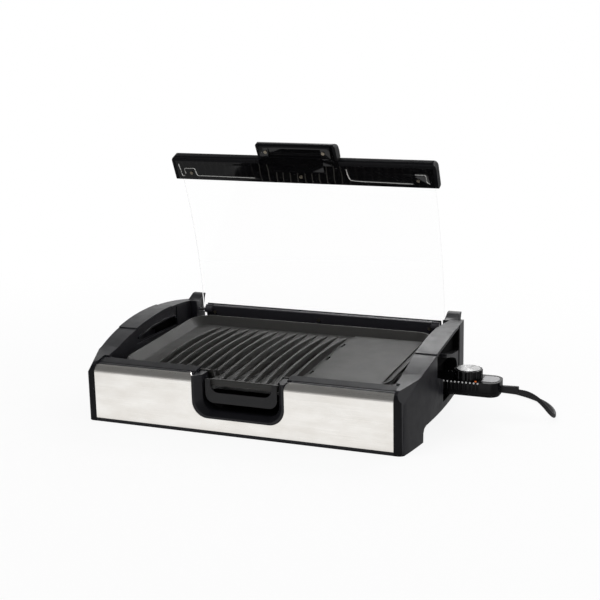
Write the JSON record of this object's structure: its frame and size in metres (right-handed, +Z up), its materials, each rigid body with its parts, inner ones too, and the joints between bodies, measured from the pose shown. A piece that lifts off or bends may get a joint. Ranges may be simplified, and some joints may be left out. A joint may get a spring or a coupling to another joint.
{
  "type": "electric indoor grill with hinged glass lid",
  "caption": "Countertop electric grill with a steel-fronted housing, ribbed non-stick plate, hinged curved glass lid, slide-out drip tray and plug-in temperature control.",
  "frame": {"origin": "middle of the rest strip under the front edge, on the table", "axes": "+X to the grill's right as seen from the front, +Y to the back, where the lid is hinged, +Z up"},
  "size_m": [0.7125, 0.463, 0.4213],
  "materials": {
    "housing_black": "satin charcoal-black moulded plastic",
    "lid_black": "satin black moulded plastic",
    "lid_gloss": "glossy black moulded plastic",
    "control_black": "satin black moulded plastic",
    "tray_black": "dark coated tray",
    "brushed_steel": "horizontally brushed stainless steel",
    "nonstick_plate": "dark warm-grey non-stick coating on cast metal",
    "reflector_sheet": "dull aluminium sheet",
    "element_sheath": "oxidised steel sheath",
    "zinc_steel": "zinc-plated steel",
    "ceramic_block": "cream ceramic",
    "rubber_black": "black rubber",
    "lid_glass": "clear tempered glass, 4 mm",
    "dark_screw": "blackened steel screw",
    "brassy_screw": "yellow-passivated steel screw",
    "end_plate_silver": "bare silver-grey plate",
    "indicator_amber": "translucent amber lens",
    "probe_steel": "polished stainless steel",
    "knob_cap_silver": "silver-painted disc",
    "cord_black": "black PVC",
    "tie_black": "black wire tie",
    "brass_blades": "bare brass"
  },
  "bodies": {
    "base": {"base_pan": "housing_black", "front_frame": "housing_black", "front_panel": "brushed_steel", "left_side_panel": "housing_black", "right_side_panel": "housing_black", "rear_panel": "housing_black", "left_grip_cap": "housing_black", "right_grip_cap": "housing_black", "left_hinge_cover": "housing_black", "right_hinge_cover": "housing_black", "heat_reflector": "reflector_sheet", "grill_plate": "nonstick_plate", "heating_element": "element_sheath", "element_clips": "zinc_steel", "terminal_block": "ceramic_block", "terminal_pins": "zinc_steel", "plate_posts": "zinc_steel", "rear_feet": "rubber_black", "housing_screws": "zinc_steel"},
    "lid": {"lid_glass": "lid_glass", "lid_front_bar": "lid_black", "lid_inner_plate": "lid_gloss", "lid_bar_screws": "dark_screw", "lid_handle": "lid_black", "lid_handle_plate": "lid_gloss", "lid_handle_screws": "dark_screw", "hinge_bar": "lid_black", "hinge_clamp": "lid_black", "hinge_clamp_screws": "brassy_screw", "hinge_pins": "zinc_steel"},
    "tray": {"drip_tray": "tray_black"},
    "control": {"control_upper_shell": "control_black", "control_lower_shell": "control_black", "control_end_plate": "end_plate_silver", "indicator_lens": "indicator_amber", "probe_rod": "probe_steel", "control_screws": "dark_screw", "strain_relief": "cord_black", "cord": "cord_black", "cord_coil": "cord_black", "cord_tail": "cord_black", "cord_tie": "tie_black", "cord_plug": "cord_black", "plug_blades": "brass_blades"},
    "knob": {"control_knob": "control_black", "knob_cap": "knob_cap_silver", "knob_spindle": "zinc_steel"}
  },
  "joints": [
    {"name": "lid_hinge", "type": "hinge", "parent": "base", "child": "lid", "pos_m": [0, 0.3246, 0.1092], "axis": [1, 0, 0], "range_deg": [0, 76.5]},
    {"name": "tray_slide", "type": "slide", "parent": "base", "child": "tray", "axis": [0, -1, 0], "range_m": [0, 0.2]},
    {"name": "control_pull", "type": "slide", "parent": "base", "child": "control", "axis": [1, 0, 0], "range_m": [0, 0.08]},
    {"name": "knob_turn", "type": "hinge", "parent": "control", "child": "knob", "pos_m": [0.305, 0.191, 0.07], "axis": [0, 0, 1], "range_deg": [0, 300]}
  ]
}
